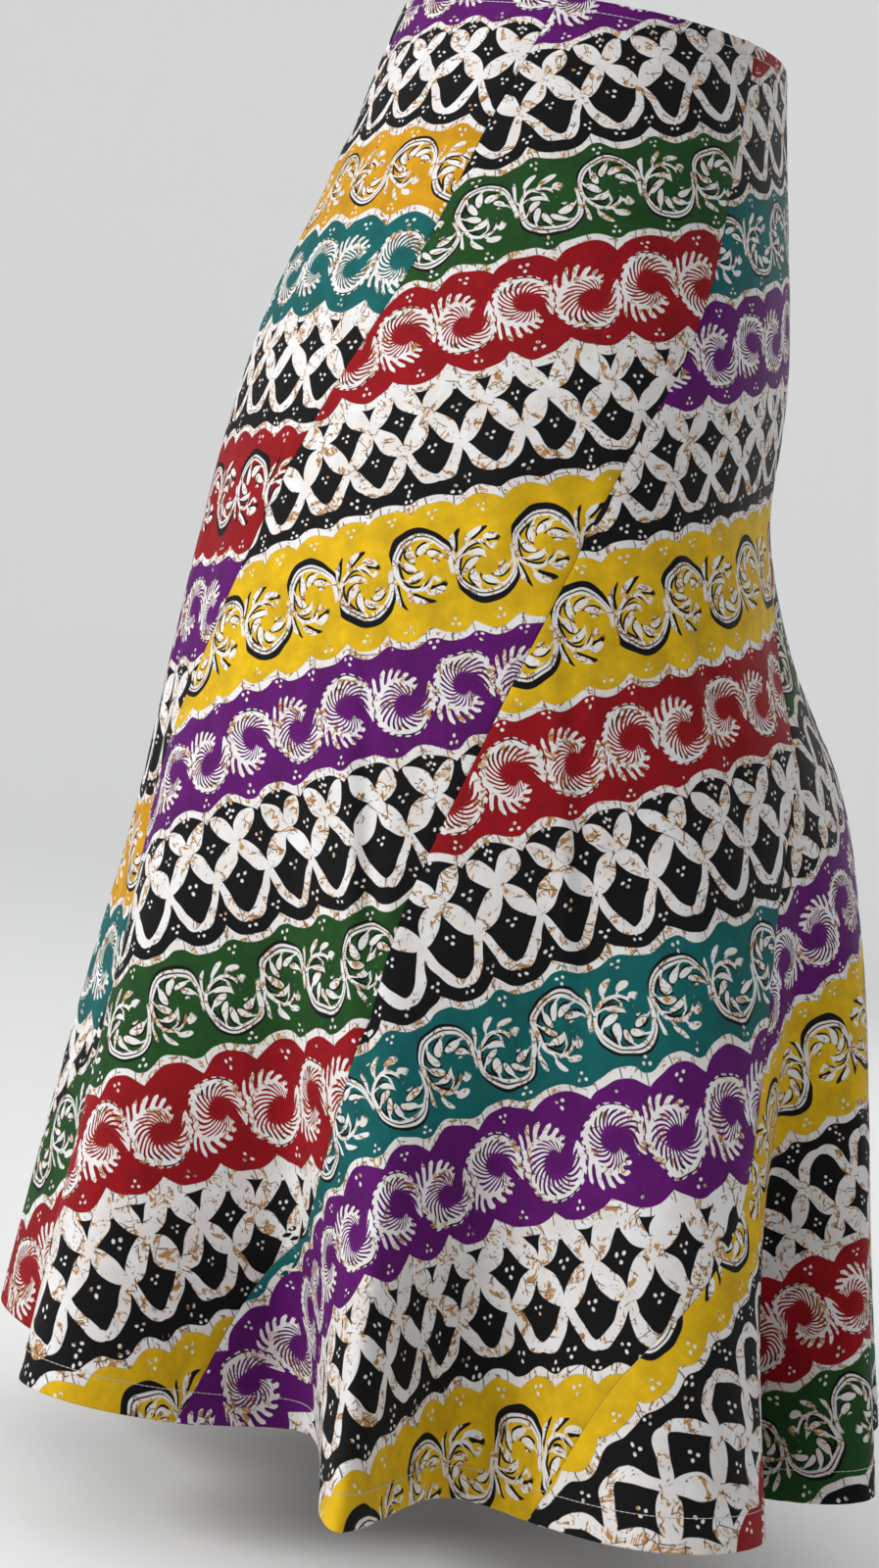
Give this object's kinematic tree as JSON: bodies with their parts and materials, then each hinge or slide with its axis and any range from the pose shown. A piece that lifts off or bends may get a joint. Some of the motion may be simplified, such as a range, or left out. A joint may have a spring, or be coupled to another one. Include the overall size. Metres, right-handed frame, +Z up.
{
  "type": "worn batik skirt, hollow",
  "caption": "Long flared batik skirt in its worn form, hollow and open at waist and hem, gores in spiral seams, concealed side zip.",
  "frame": {"origin": "middle of the waist opening, in the plane of the waist edge, where the wearer's body holds the skirt", "axes": "+Z up, +Y to the wearer's back, +X to the wearer's left; the centre front faces -Y"},
  "size_m": [0.5589, 0.532, 0.7967],
  "materials": {
    "batik_cotton": "soft plain weave, wax-resist print",
    "zip_cloth": "woven tape",
    "zip_metal": "satin"
  },
  "bodies": {
    "skirt": {"gore_0": "batik_cotton", "gore_1": "batik_cotton", "gore_2": "batik_cotton", "gore_3": "batik_cotton", "gore_4": "batik_cotton", "gore_5": "batik_cotton", "zip_tape": "zip_cloth", "zip_slider": "zip_metal"},
    "pull": {"zip_pull": "zip_metal"}
  },
  "joints": [
    {"name": "zip_pull_swing", "type": "hinge", "parent": "skirt", "child": "pull", "pos_m": [-0.13281, 0.02336, -0.00397], "axis": [0.3116, 0.9324, 0.1832], "range_deg": [0, 170]}
  ]
}
